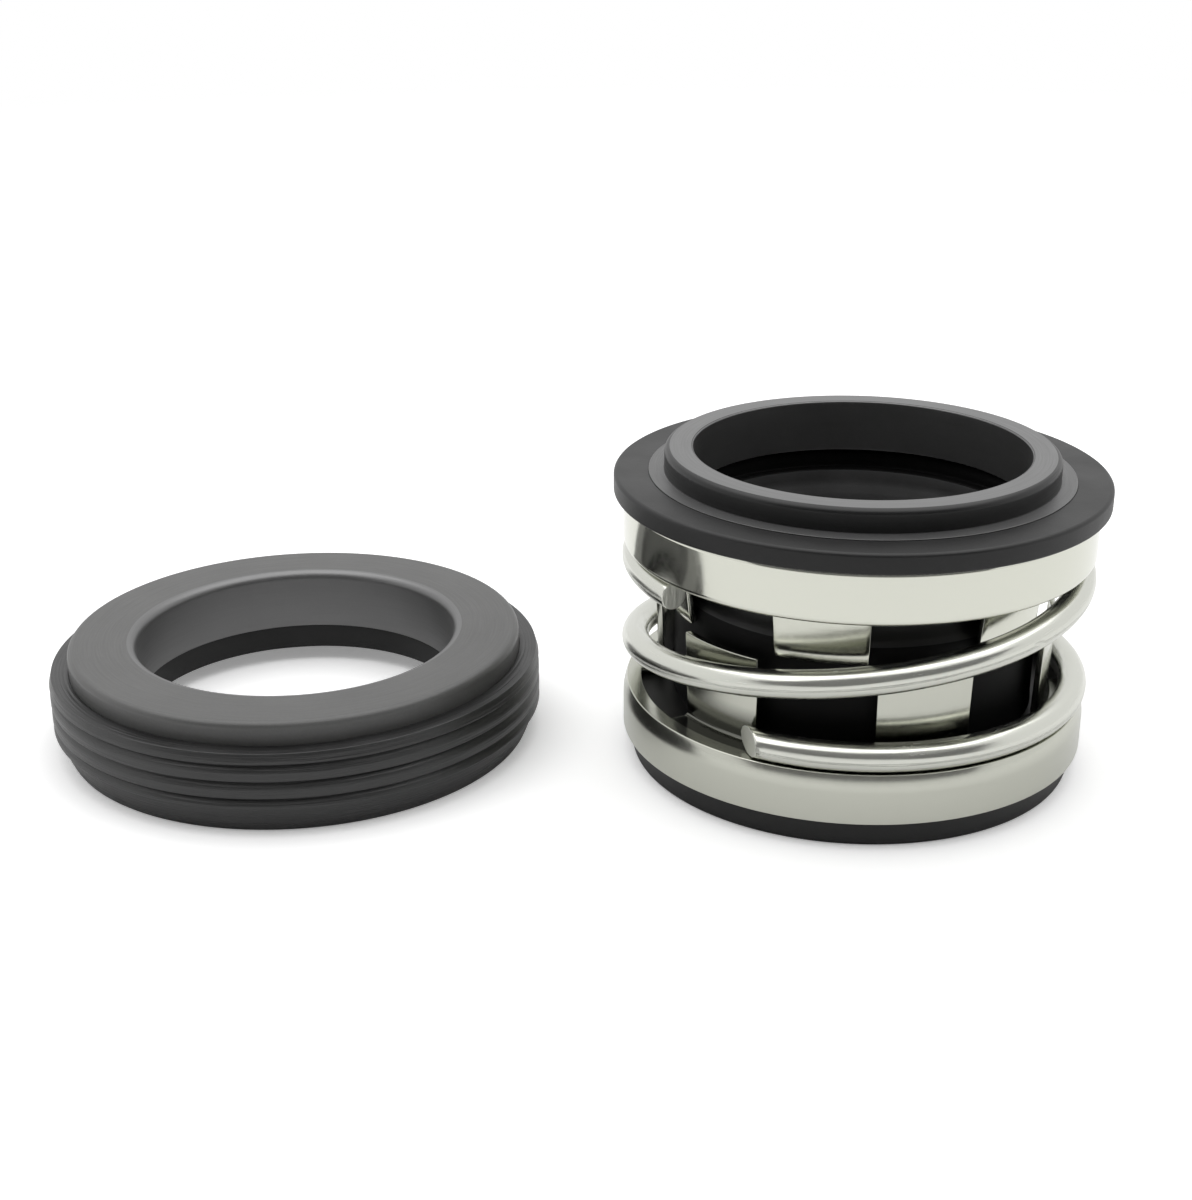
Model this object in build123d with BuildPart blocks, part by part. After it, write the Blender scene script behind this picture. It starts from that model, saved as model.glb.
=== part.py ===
from build123d import *
from math import cos, radians, sin
import os

# A component mechanical seal for a 25 mm shaft: a rotary head and the
# stationary seat that runs against it. The head stands on its drive end with
# its axis on Z and its sealing face up. The seat lies beside it, face up.
# Millimetres throughout.

# Radial sizes, from the shaft outwards
shaft_d = 25.0          # shaft the drive end grips
ring_room = 0.7         # primary ring clear of the shaft
sleeve_room = 0.8       # free rubber sleeve clear of the shaft
sleeve_wall = 1.7
tab_room = 0.5          # drive tabs clear of the sleeve
sheet = 0.5             # both pressed shells
coil_room = 0.58        # spring clear of the tabs
wire_d = 2.1
flange_out = 0.8        # rubber flange overhangs the upper shell
tail_in = 0.8           # rubber tail set back under the lower shell
cup_wall = 1.4          # rubber between the upper shell and the primary ring
shoulder_w = 1.25       # primary ring's shoulder beside its nose
recess_out = 0.9        # hollow under the ring cut back past the sleeve's bore

# Heights, from the resting face upwards
tail_h = 2.2            # rubber below the lower shell
lower_shell_h = 3.95
spring_h = 12.0         # free height of the spring, shelf to shelf
upper_shell_h = 4.05
flange_h = 1.6
shoulder_h = 0.2        # primary ring above the rubber flange
nose_h = 1.7
cup_floor = 2.75        # rubber between the upper shell's floor and the ring
recess_h = 1.8          # hollow in the rubber right under the ring

# Pressed shells and their interleaved drive tabs
lower_bend = 0.6        # inside radius of the lower shell's rounded shoulder
upper_bend = 0.2
tab_bend = 0.4          # inside radius where a tab leaves its shelf
tab_count = 6
tab_side_gap = 3.0      # degrees between neighbouring tabs of the two shells
lower_tab_at = 42.5     # bearing of the first lower tab, degrees from +X
upper_tab_at = 13.0
lower_tab_reach = 7.1   # tab tip above the lower shelf
tip_gap = 0.85          # upper tabs' tips above the lower tabs' tips
lip_h = 0.75            # outward lip at each upper tab's tip
lip_out = 0.3
window_out = 1.2        # shelf cut back past the tabs between two of them

# Rubber bellows
fold_h = 3.8            # folded stretch of the sleeve, under the cup
fold_in = 0.8

# Coil spring
wire_starts = 236.5     # bearing of the lower end
lower_dead = 197.5      # degrees that lie flat on the lower shelf
rising = 322.0          # degrees between the two flat ends
upper_dead = 176.0
points_per_turn = 24

# Stationary seat
seat_x = -46.15
seat_y = 4.15
seat_room = 0.7         # seat ring clear of the shaft
seat_ring_w = 5.5       # width of the seat ring, bore to outside
seat_ring_h = 5.25
face_edge = 0.5         # rounding round the lapped face
seat_bore_edge = 0.8
boot_wall = 1.65
boot_h = 6.95
boot_floor = 3.55       # rubber behind the ring
boot_edge = 0.7         # rounding of the boot's top edge
boot_bore_in = 0.2      # boot's bore set back from the ring's
relief_w = 3.3          # cone cut under the boot, out from its bore
relief_h = 1.4
rib_count = 3
rib_pitch = 1.42
rib_top = 1.1           # first groove's centre below the top ledge
groove_w = 0.7
groove_depth = 0.45
lead_in = 0.4           # band under the last groove set back from the ribs
lead_taper = 0.35       # how much that band narrows downwards
toe_h = 0.9             # rounded toe that leads the boot into its housing
toe_w = 0.4

# Clearances and small edges
rubber_gap = 0.05       # rubber to the pieces that travel with the face
rubber_fit = 0.02       # rubber to the shell that it fills
coil_gap = 0.02         # wire to each shelf
soft_edge = 0.3
nose_edge_w = 0.45      # shallow bevel round the sealing face
nose_edge_h = 0.2
hair = 1e-4

# Diameters that follow from the sizes above
ring_bore_d = shaft_d + 2 * ring_room
sleeve_bore_d = shaft_d + 2 * sleeve_room
sleeve_d = sleeve_bore_d + 2 * sleeve_wall
recess_d = sleeve_bore_d + 2 * recess_out
tab_bore_d = sleeve_d + 2 * tab_room
tab_d = tab_bore_d + 2 * sheet
window_d = tab_d + 2 * window_out
coil_d = tab_d + 2 * coil_room + wire_d
shell_d = coil_d + wire_d
shell_bore_d = shell_d - 2 * sheet
flange_d = shell_d + 2 * flange_out
tail_d = shell_d - 2 * tail_in
cup_bore_d = shell_bore_d - 2 * cup_wall
cup_d = shell_bore_d - 2 * rubber_gap
plug_d = shell_bore_d - 2 * rubber_fit
ring_d = cup_bore_d - 2 * rubber_gap
nose_d = ring_d - 2 * shoulder_w
seat_bore_d = shaft_d + 2 * seat_room
seat_ring_d = seat_bore_d + 2 * seat_ring_w
boot_bore_d = seat_bore_d + 2 * boot_bore_in
boot_d = seat_ring_d + 2 * boot_wall
lead_d = boot_d - 2 * lead_in
toe_d = lead_d - 2 * lead_taper
relief_d = boot_bore_d + 2 * relief_w

# Heights that follow from the sizes above
lower_shelf = tail_h + lower_shell_h
lower_tip = lower_shelf + lower_tab_reach
plug_top = lower_shelf - sheet - rubber_fit
upper_shelf = lower_shelf + spring_h
upper_tip = lower_tip + tip_gap
cup_base = upper_shelf + sheet
fold_base = cup_base - fold_h
fold_middle = cup_base - fold_h / 2
flange_base = upper_shelf + upper_shell_h
flange_top = flange_base + flange_h
ring_base = cup_base + cup_floor
recess_base = ring_base - recess_h
shoulder = flange_top + shoulder_h
face = shoulder + nose_h
coil_low = lower_shelf + wire_d / 2 + coil_gap
coil_high = upper_shelf - wire_d / 2 - coil_gap
seat_face = boot_floor + seat_ring_h
first_groove = boot_h - rib_top
last_groove = first_groove - (rib_count - 1) * rib_pitch
lead_top = last_groove - groove_w / 2

# Turns and spans
tab_span = 180 / tab_count - tab_side_gap
coil_turn = lower_dead + rising + upper_dead
coil_spans = round(coil_turn * points_per_turn / 360)

head_axis = Axis.Z
seat_axis = Axis((seat_x, seat_y, 0), (0, 0, 1))
seat_section = Plane(origin=(seat_x, seat_y, 0), x_dir=(1, 0, 0), z_dir=(0, -1, 0))


def ring_edges(piece, diameter, height):
    """The round edges of a turned piece that have this diameter and height."""
    rounds = piece.edges().filter_by(GeomType.CIRCLE)
    return rounds.filter_by(
        lambda edge: abs(edge.radius - diameter / 2) < hair
        and abs(edge.center().Z - height) < hair
    )


def tab_windows(first_tab):
    """Sketch the gaps between the tabs, inside the open sketch."""
    half_span = radians(tab_span / 2)
    side_x = window_d * cos(half_span)
    side_y = window_d * sin(half_span)
    Circle(window_d / 2)
    with PolarLocations(0, tab_count, start_angle=first_tab):
        Polygon((0, 0), (side_x, -side_y), (side_x, side_y), align=None, mode=Mode.SUBTRACT)


os.makedirs("parts", exist_ok=True)

# Primary ring: the turned ring whose nose carries the lapped sealing face
with BuildPart() as primary_ring:
    with BuildSketch(Plane.XZ):
        with BuildLine():
            Polyline(
                (ring_bore_d / 2, ring_base),
                (ring_d / 2, ring_base),
                (ring_d / 2, shoulder),
                (nose_d / 2, shoulder),
                (nose_d / 2, face - nose_edge_h),
                (nose_d / 2 - nose_edge_w, face),
                (ring_bore_d / 2, face),
                close=True,
            )
        make_face()
    revolve(axis=head_axis)
    fillet(ring_edges(primary_ring, ring_d, shoulder), soft_edge)
primary_ring.part.label = "primary_ring"
export_step(primary_ring.part, "parts/primary_ring.step")

# Upper shell: a pressed cup whose tabs reach down inside the spring
with BuildPart() as upper_shell:
    with BuildSketch(Plane.XZ):
        with BuildLine():
            Polyline(
                (shell_d / 2, flange_base),
                (shell_d / 2, upper_shelf),
                (tab_d / 2, upper_shelf),
                (tab_d / 2, upper_tip + lip_h),
                (tab_d / 2 + lip_out, upper_tip),
                (tab_bore_d / 2 + lip_out, upper_tip),
                (tab_bore_d / 2, upper_tip + lip_h),
                (tab_bore_d / 2, cup_base),
                (shell_bore_d / 2, cup_base),
                (shell_bore_d / 2, flange_base),
                close=True,
            )
        make_face()
    revolve(axis=head_axis)
    fillet(ring_edges(upper_shell, shell_d, upper_shelf), upper_bend + sheet)
    fillet(ring_edges(upper_shell, shell_bore_d, cup_base), upper_bend)
    fillet(ring_edges(upper_shell, tab_d, upper_shelf), tab_bend)
    fillet(ring_edges(upper_shell, tab_bore_d, cup_base), tab_bend + sheet)
    with BuildSketch(Plane.XY.offset(upper_tip)):
        tab_windows(upper_tab_at)
    extrude(amount=cup_base - upper_tip, mode=Mode.SUBTRACT)
upper_shell.part.label = "upper_shell"
export_step(upper_shell.part, "parts/upper_shell.step")

# Lower shell: grips the rubber tail on the shaft and drives the upper shell
with BuildPart() as lower_shell:
    with BuildSketch(Plane.XZ):
        with BuildLine():
            Polyline(
                (shell_d / 2, tail_h),
                (shell_d / 2, lower_shelf),
                (tab_d / 2, lower_shelf),
                (tab_d / 2, lower_tip),
                (tab_bore_d / 2, lower_tip),
                (tab_bore_d / 2, lower_shelf - sheet),
                (shell_bore_d / 2, lower_shelf - sheet),
                (shell_bore_d / 2, tail_h),
                close=True,
            )
        make_face()
    revolve(axis=head_axis)
    fillet(ring_edges(lower_shell, shell_d, lower_shelf), lower_bend + sheet)
    fillet(ring_edges(lower_shell, shell_bore_d, lower_shelf - sheet), lower_bend)
    fillet(ring_edges(lower_shell, tab_d, lower_shelf), tab_bend)
    fillet(ring_edges(lower_shell, tab_bore_d, lower_shelf - sheet), tab_bend + sheet)
    with BuildSketch(Plane.XY.offset(lower_shelf - sheet)):
        tab_windows(lower_tab_at)
    extrude(amount=sheet + lower_tab_reach, mode=Mode.SUBTRACT)
lower_shell.part.label = "lower_shell"
export_step(lower_shell.part, "parts/lower_shell.step")

# Bellows: one rubber moulding with a cup and flange for the ring, a thin
# folded sleeve, and a thick tail that fills the lower shell
with BuildPart() as bellows:
    with BuildSketch(Plane.XZ):
        with BuildLine():
            Polyline(
                (sleeve_bore_d / 2, fold_base),
                (sleeve_bore_d / 2, lower_shelf + sheet),
                (shaft_d / 2, lower_shelf - sheet),
                (shaft_d / 2, 0),
                (tail_d / 2, 0),
                (tail_d / 2, tail_h),
                (plug_d / 2, tail_h),
                (plug_d / 2, plug_top),
                (sleeve_d / 2, plug_top),
                (sleeve_d / 2, fold_base),
            )
            ThreePointArc(
                (sleeve_d / 2, fold_base),
                (sleeve_d / 2 - fold_in, fold_middle),
                (sleeve_d / 2, cup_base),
            )
            Polyline(
                (sleeve_d / 2, cup_base),
                (cup_d / 2, cup_base),
                (cup_d / 2, flange_base),
                (flange_d / 2, flange_base),
                (flange_d / 2, flange_top),
                (cup_bore_d / 2, flange_top),
                (cup_bore_d / 2, ring_base),
                (recess_d / 2, ring_base),
                (recess_d / 2, recess_base),
                (sleeve_bore_d / 2, recess_base),
                (sleeve_bore_d / 2, cup_base),
            )
            ThreePointArc(
                (sleeve_bore_d / 2, cup_base),
                (sleeve_bore_d / 2 - fold_in / 2, fold_middle),
                (sleeve_bore_d / 2, fold_base),
            )
        make_face()
    revolve(axis=head_axis)
    fillet(ring_edges(bellows, plug_d, plug_top), lower_bend + rubber_fit)
    fillet(ring_edges(bellows, cup_d, cup_base), upper_bend + rubber_gap)
    fillet(ring_edges(bellows, flange_d, flange_top), soft_edge)
    fillet(ring_edges(bellows, cup_bore_d, flange_top), soft_edge)
    fillet(ring_edges(bellows, tail_d, 0), soft_edge)
bellows.part.label = "bellows"
export_step(bellows.part, "parts/bellows.step")

# Coil spring: round wire whose ends lie flat on the two shelves

def wire_point(turned):
    """Centre of the wire after this many degrees from its lower end."""
    share = min(max((turned - lower_dead) / rising, 0), 1)
    bearing = radians(wire_starts + turned)
    height = coil_low + (coil_high - coil_low) * share**2 * (3 - 2 * share)
    return (coil_d / 2 * cos(bearing), coil_d / 2 * sin(bearing), height)


with BuildPart() as coil_spring:
    with BuildLine() as wire_path:
        Spline(*[wire_point(coil_turn * i / coil_spans) for i in range(coil_spans + 1)])
    with BuildSketch(Plane(origin=wire_path.line @ 0, z_dir=wire_path.line % 0)):
        Circle(wire_d / 2)
    sweep()
coil_spring.part.label = "coil_spring"
export_step(coil_spring.part, "parts/coil_spring.step")

# Seat ring: the plain hard ring whose top face runs against the nose
with BuildPart() as seat_ring:
    with BuildSketch(seat_section):
        with BuildLine():
            Polyline(
                (seat_bore_d / 2, boot_floor),
                (seat_ring_d / 2, boot_floor),
                (seat_ring_d / 2, seat_face),
                (seat_bore_d / 2, seat_face),
                close=True,
            )
        make_face()
    revolve(axis=seat_axis)
    fillet(ring_edges(seat_ring, seat_ring_d, seat_face), face_edge)
    fillet(ring_edges(seat_ring, seat_bore_d, seat_face), seat_bore_edge)
seat_ring.part.label = "seat_ring"
export_step(seat_ring.part, "parts/seat_ring.step")

# Seat boot: the ribbed rubber cup that seals the ring in its housing
with BuildPart() as seat_boot:
    with BuildSketch(seat_section):
        with BuildLine():
            Polyline(
                (relief_d / 2, 0),
                (toe_d / 2 - toe_w, 0),
                (toe_d / 2, toe_h),
                (lead_d / 2, lead_top),
                (boot_d / 2, last_groove),
                (boot_d / 2, boot_h),
                (seat_ring_d / 2, boot_h),
                (seat_ring_d / 2, boot_floor),
                (boot_bore_d / 2, boot_floor),
                (boot_bore_d / 2, relief_h),
                close=True,
            )
        make_face()
        for rib in range(rib_count):
            groove_z = first_groove - rib * rib_pitch
            with BuildLine():
                Polyline(
                    (boot_d / 2 + hair, groove_z + groove_w / 2),
                    (boot_d / 2 - groove_depth, groove_z),
                    (boot_d / 2 + hair, groove_z - groove_w / 2),
                    close=True,
                )
            make_face(mode=Mode.SUBTRACT)
    revolve(axis=seat_axis)
    fillet(ring_edges(seat_boot, toe_d, toe_h), soft_edge)
    fillet(ring_edges(seat_boot, toe_d - 2 * toe_w, 0), soft_edge)
    fillet(ring_edges(seat_boot, boot_d, boot_h), boot_edge)
seat_boot.part.label = "seat_boot"
export_step(seat_boot.part, "parts/seat_boot.step")
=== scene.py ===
import math

import bmesh
import bpy
from bpy.props import FloatProperty, FloatVectorProperty, IntProperty, PointerProperty
from mathutils import Matrix, Vector


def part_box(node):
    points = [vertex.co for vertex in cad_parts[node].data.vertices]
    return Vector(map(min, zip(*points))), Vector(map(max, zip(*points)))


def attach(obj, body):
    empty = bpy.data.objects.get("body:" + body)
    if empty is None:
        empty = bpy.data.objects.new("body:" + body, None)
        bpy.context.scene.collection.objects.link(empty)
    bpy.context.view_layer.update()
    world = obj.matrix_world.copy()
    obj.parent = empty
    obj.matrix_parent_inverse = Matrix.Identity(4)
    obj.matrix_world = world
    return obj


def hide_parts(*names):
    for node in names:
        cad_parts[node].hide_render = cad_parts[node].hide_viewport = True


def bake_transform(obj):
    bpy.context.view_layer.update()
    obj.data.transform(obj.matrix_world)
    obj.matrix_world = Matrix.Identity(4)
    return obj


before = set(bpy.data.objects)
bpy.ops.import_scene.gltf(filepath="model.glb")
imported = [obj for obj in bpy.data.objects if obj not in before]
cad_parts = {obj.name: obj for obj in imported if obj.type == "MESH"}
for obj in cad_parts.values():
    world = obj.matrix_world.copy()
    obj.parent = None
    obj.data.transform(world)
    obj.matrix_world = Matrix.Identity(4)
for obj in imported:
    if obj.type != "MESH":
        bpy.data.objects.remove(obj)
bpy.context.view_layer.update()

bl_info = {
    "name": "Component mechanical seal",
    "version": (1, 0, 0),
    "blender": (4, 5, 0),
    "location": "3D View > Sidebar > Mechanical seal",
    "description": "Builds a coil-spring mechanical seal, head and seat, round its packed frame",
    "category": "Mesh",
}

MM = 0.001
TURN_STEPS = 240            # facets of a full turn, 1.5 degrees each
HAIR = 2e-6                 # how near a point lies to the corner it belongs to
FACET = 0.12 * MM           # rounding that adds one facet to a small rounded corner
WIDE = 0.5 * MM             # rounding from which a corner has WIDE_FACETS
WIDE_FACETS = 8
EDGE = 0.1 * MM             # how far past a wall its finish still runs

SEAT_LOW, SEAT_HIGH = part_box("seat_boot")
SEAT_AXIS = ((SEAT_LOW.x + SEAT_HIGH.x) / 2, (SEAT_LOW.y + SEAT_HIGH.y) / 2)
HEAD_AXIS = (0.0, 0.0)


def linear(hex_colour):
    """An sRGB hex colour as linear red, green, blue and alpha."""
    parts = [int(hex_colour[at:at + 2], 16) / 255 for at in (0, 2, 4)]
    lit = [p / 12.92 if p <= 0.04045 else ((p + 0.055) / 1.055) ** 2.4 for p in parts]
    return (*lit, 1.0)


def length(name, description, millimetres):
    """A length property with its default given in millimetres."""
    return FloatProperty(
        name=name,
        description=description,
        default=millimetres * MM,
        min=0.0,
        precision=5,
        subtype="DISTANCE",
        unit="LENGTH",
    )


def angle(name, description, degrees):
    """An angle property with its default given in degrees."""
    return FloatProperty(
        name=name,
        description=description,
        default=math.radians(degrees),
        subtype="ANGLE",
        unit="ROTATION",
    )


def colour(name, description, hex_colour):
    """A colour property with its default given as sRGB hex."""
    return FloatVectorProperty(
        name=name,
        description=description,
        default=linear(hex_colour),
        size=4,
        min=0.0,
        max=1.0,
        subtype="COLOR",
    )


class SealHeadSizes(bpy.types.PropertyGroup):
    """Sizes of the rotary head."""

    shaft: length("Shaft radius", "Bore of the rubber tail that grips the shaft", 12.5)
    sleeve_bore: length("Sleeve bore radius", "Inside of the thin rubber sleeve", 13.3)
    sleeve: length("Sleeve radius", "Outside of the thin rubber sleeve", 14.5)
    ring_bore: length("Ring bore radius", "Bore of the primary ring", 13.2)
    nose: length("Nose radius", "Outside of the primary ring's nose", 15.48)
    ring: length("Ring radius", "Outside of the primary ring's shoulder", 16.73)
    cup_bore: length("Cup bore radius", "Rubber round the primary ring", 16.74)
    recess: length("Recess radius", "Hollow in the rubber right under the ring", 14.2)
    flange: length("Flange radius", "Rubber flange over the upper shell", 19.48)
    tail: length("Tail radius", "Rubber tail under the lower shell", 17.88)
    tab: length("Tab radius", "Outside of the drive tabs", 16.0)
    shell: length("Shell radius", "Outside of both pressed shells", 18.68)
    window: length("Window radius", "How far the shelves are cut back between tabs", 17.2)
    sheet: length("Sheet", "Thickness of both pressed shells", 0.5)
    tail_top: length("Tail top", "Height of the lower shell's rim", 2.2)
    lower_shelf: length("Lower shelf", "Height of the spring's lower shelf", 6.15)
    lower_tip: length("Lower tab tips", "Height of the lower shell's tab tips", 13.25)
    upper_tip: length("Upper tab tips", "Height of the upper shell's tab tips", 13.4)
    upper_shelf: length("Upper shelf", "Height of the spring's upper shelf", 17.95)
    flange_base: length("Flange base", "Underside of the rubber flange", 22.2)
    flange_top: length("Flange top", "Top of the rubber flange", 23.8)
    ring_base: length("Ring base", "Back of the primary ring", 21.4)
    shoulder: length("Shoulder", "Height of the primary ring's shoulder", 23.88)
    face: length("Face", "Height of the sealing face", 25.7)
    tab_count: IntProperty(name="Tabs", description="Drive tabs on each shell", default=6, min=2)
    tab_span: angle("Tab span", "Angle that one tab covers", 27.0)
    lower_tab_side: angle("Lower tab side", "Bearing of the first lower tab's side", 29.0)
    upper_tab_side: angle("Upper tab side", "Bearing of the first upper tab's side", -0.5)


class SealSpringSizes(bpy.types.PropertyGroup):
    """Sizes of the coil spring."""

    wire: length("Wire radius", "Half the wire's diameter", 1.11)
    coil: length("Coil radius", "Axis of the spring to the middle of the wire", 17.69)
    gap: length("Gap", "Wire to each shelf", 0.03)
    starts: angle("Start", "Bearing of the wire's lower end", 232.8)
    lower_dead: angle("Lower dead coil", "Turning that lies flat on the lower shelf", 201.2)
    rising: angle("Rising", "Turning between the two flat ends", 322.0)
    upper_dead: angle("Upper dead coil", "Turning that lies flat under the upper shelf", 176.0)


class SealSeatSizes(bpy.types.PropertyGroup):
    """Sizes of the stationary seat."""

    bore: length("Bore radius", "Bore of the seat ring", 13.2)
    ring: length("Ring radius", "Outside of the seat ring", 18.7)
    back: length("Ring back", "Height of the seat ring's back", 3.55)
    face: length("Face", "Height of the lapped face", 8.8)
    boot_bore: length("Boot bore radius", "Bore of the rubber boot", 13.4)
    boot: length("Boot radius", "Outside of the boot's ribs", 20.35)
    ledge: length("Ledge", "Height of the boot's top ledge", 6.95)
    rib_pitch: length("Rib pitch", "Groove to groove", 1.42)
    rib_top: length("First groove", "Top ledge to the first groove", 1.1)
    groove_width: length("Groove width", "Width of each groove at the outside", 0.58)
    groove_depth: length("Groove depth", "Depth of each groove", 0.35)
    lead: length("Lead radius", "Band under the last groove", 19.95)
    toe: length("Toe radius", "Band's foot, above its rounded toe", 19.6)
    toe_height: length("Toe height", "Height of the rounded toe", 0.9)
    foot: length("Foot radius", "Where the toe meets the resting face", 19.2)
    relief: length("Relief radius", "Outer edge of the cone cut under the boot", 16.7)
    relief_height: length("Relief height", "Height of that cone at the bore", 1.4)
    ribs: IntProperty(name="Grooves", description="Grooves round the boot", default=3, min=1)


class SealColours(bpy.types.PropertyGroup):
    """Colours of the seal's finishes."""

    lapped: colour("Lapped carbide", "Faces and bores of both rings", "343434")
    # The ground colour is much darker than the lapped one: besides the ground finish it paints the
    # shade on the primary ring's walls.
    ground: colour("Ground carbide", "Ground walls of the primary ring, darkened as painted shade", "101010")
    # The shoulder colour is lighter than the walls': painted light on the step's upward faces.
    shoulder: colour("Carbide shoulder, painted light", "Step round the primary ring's nose, lightened as painted light", "464646")
    seat_ground: colour("Ground seat ring", "Outside of the seat ring", "4B4B4A")
    bellows: colour("Bellows", "Nitrile rubber of the bellows", "101010")
    # The sleeve's rubber is darker than the bellows': besides its dusted, matt sheen it paints the
    # shade among the tabs.
    sleeve: colour("Sleeve", "Dusted rubber of the bellows' thin sleeve, darkened as painted shade", "080808")
    # The inner colour is a lighter grey than the bellows': painted light on the inside of the
    # sleeve, seen down the bore.
    bloom_and_painted_light: colour("Inner painted light", "Rubber inside the bellows, lightened as painted light", "3C3C3C")
    boot: colour("Boot", "Nitrile rubber of the seat's boot", "151515")
    sheet: colour("Upper shell", "Bright stainless sheet of the upper shell", "D3D4C9")
    # The lower shell's colour is darker than the upper's as painted shade: it stands in for the
    # shaded floor that its wall mirrors.
    painted_shade_sheet: colour("Lower shell", "Stainless sheet of the lower shell, darkened as painted shade", "BDBEB4")
    wire: colour("Spring", "Stainless wire of the spring", "CFD0C8")
    floor: colour("Floor", "Plain pale floor", "FAFAFA")


class SealSettings(bpy.types.PropertyGroup):
    """All of the seal's settings."""

    head: PointerProperty(type=SealHeadSizes)
    spring: PointerProperty(type=SealSpringSizes)
    seat: PointerProperty(type=SealSeatSizes)
    colours: PointerProperty(type=SealColours)


# Meshes

def turned(corners, closed=True):
    """Spin a profile of (radius, height, rounding) corners about Z and round its corners."""
    mesh = bmesh.new()
    points = [mesh.verts.new((radius, 0.0, height)) for radius, height, rounding in corners]
    pairs = list(zip(points, points[1:]))
    if closed:
        pairs.append((points[-1], points[0]))
    lines = [mesh.edges.new(pair) for pair in pairs]
    bmesh.ops.spin(
        mesh,
        geom=points + lines,
        cent=(0, 0, 0),
        axis=(0, 0, 1),
        angle=math.tau,
        steps=TURN_STEPS,
        use_merge=True,
    )
    bmesh.ops.remove_doubles(mesh, verts=mesh.verts[:], dist=HAIR / 10)
    for radius, height, rounding in corners:
        if rounding:
            round_ring(mesh, radius, height, rounding)
    bmesh.ops.recalc_face_normals(mesh, faces=mesh.faces[:])
    return mesh


def round_ring(mesh, radius, height, rounding):
    """Round the ring of edges at this radius and height."""
    facets = WIDE_FACETS if rounding >= WIDE else 2 + round(rounding / FACET)
    ring = [edge for edge in mesh.edges if all(lies_at(v, radius, height) for v in edge.verts)]
    bmesh.ops.bevel(
        mesh,
        geom=ring,
        offset=rounding,
        offset_type="OFFSET",
        segments=facets,
        profile=0.5,
        affect="EDGES",
        material=-1,
        clamp_overlap=True,
    )


def lies_at(vertex, radius, height):
    """Whether a vertex belongs to the ring at this radius and height."""
    off = math.hypot(vertex.co.x, vertex.co.y) - radius
    return abs(off) < HAIR and abs(vertex.co.z - height) < HAIR


def placed(mesh, axis_at):
    """Move a turned mesh to its own axis."""
    bmesh.ops.translate(mesh, verts=mesh.verts[:], vec=(*axis_at, 0.0))


def made_object(name, mesh, *materials):
    """Turn a mesh into an object of the scene, with its materials."""
    data = bpy.data.meshes.new(name)
    mesh.to_mesh(data)
    mesh.free()
    for material in materials:
        data.materials.append(material)
    made = bpy.data.objects.new(name, data)
    bpy.context.scene.collection.objects.link(made)
    return made


def finished(mesh, node, slot, *materials):
    """Turn a mesh into the piece that stands for a CAD node."""
    piece = made_object("seal_" + node, mesh, *materials)
    piece.data.shade_smooth()
    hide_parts(node)
    return piece


def keep_flats_flat(piece):
    """Let a piece's large faces rule the shading of the rounded edges between them."""
    weighted = piece.modifiers.new("Weighted normals", "WEIGHTED_NORMAL")
    weighted.mode = "FACE_AREA"
    weighted.weight = 100


def pressed(corners, first_side, sizes):
    """The outer skin of a pressed shell: a turned sheet with the gaps between its tabs cut out.

    Its tabs' corners are rounded as the punch leaves them.
    """
    punch_rounding = 0.18 * MM
    mesh = turned(corners, closed=False)
    pitch = math.tau / sizes.tab_count
    bmesh.ops.rotate(
        mesh,
        verts=mesh.verts[:],
        cent=(0, 0, 0),
        matrix=Matrix.Rotation(first_side, 3, "Z"),
    )
    gaps = []
    for face in mesh.faces:
        middle = face.calc_center_median()
        bearing = (math.atan2(middle.y, middle.x) - first_side) % pitch
        if middle.xy.length < sizes.window and bearing > sizes.tab_span:
            gaps.append(face)
    bmesh.ops.delete(mesh, geom=gaps, context="FACES")
    tips = [vertex for vertex in mesh.verts if len(vertex.link_edges) == 2]
    bmesh.ops.bevel(
        mesh,
        geom=tips,
        offset=punch_rounding,
        offset_type="OFFSET",
        segments=4,
        profile=0.5,
        affect="VERTICES",
        material=-1,
    )
    wall = max(mesh.faces, key=lambda face: face.calc_center_median().xy.length)
    if wall.normal.xy.dot(wall.calc_center_median().xy) < 0:
        bmesh.ops.reverse_faces(mesh, faces=mesh.faces[:])
    return mesh


def give_sheet_thickness(piece, sheet):
    """Thicken a skin inwards and ease the sheared edges, which turn more than the bends do."""
    easing, sharp = 0.07 * MM, math.radians(50)
    solid = piece.modifiers.new("Sheet thickness", "SOLIDIFY")
    solid.thickness = sheet
    solid.offset = -1.0
    solid.use_even_offset = True
    solid.use_quality_normals = True
    eased = piece.modifiers.new("Eased edges", "BEVEL")
    eased.width = easing
    eased.segments = 2
    eased.limit_method = "ANGLE"
    eased.angle_limit = sharp


def wire_frame(sizes, low, high, turned_by):
    """Place and turn of the wire's cross-section after this much turning from its lower end.

    Between its flat ends the wire rises along an S-curve, which leaves both of them level.
    """
    share = min(max((turned_by - sizes.lower_dead) / sizes.rising, 0.0), 1.0)
    bearing = sizes.starts + turned_by
    height = low + (high - low) * share**2 * (3 - 2 * share)
    slope = (high - low) * 6 * share * (1 - share) / sizes.rising / sizes.coil
    outward = Vector((math.cos(bearing), math.sin(bearing), 0.0))
    along = Vector((-math.sin(bearing), math.cos(bearing), slope)).normalized()
    across = along.cross(outward)
    turn = Matrix((outward, across, along)).transposed().to_4x4()
    return Matrix.Translation(outward * sizes.coil + Vector((0, 0, height))) @ turn


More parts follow.
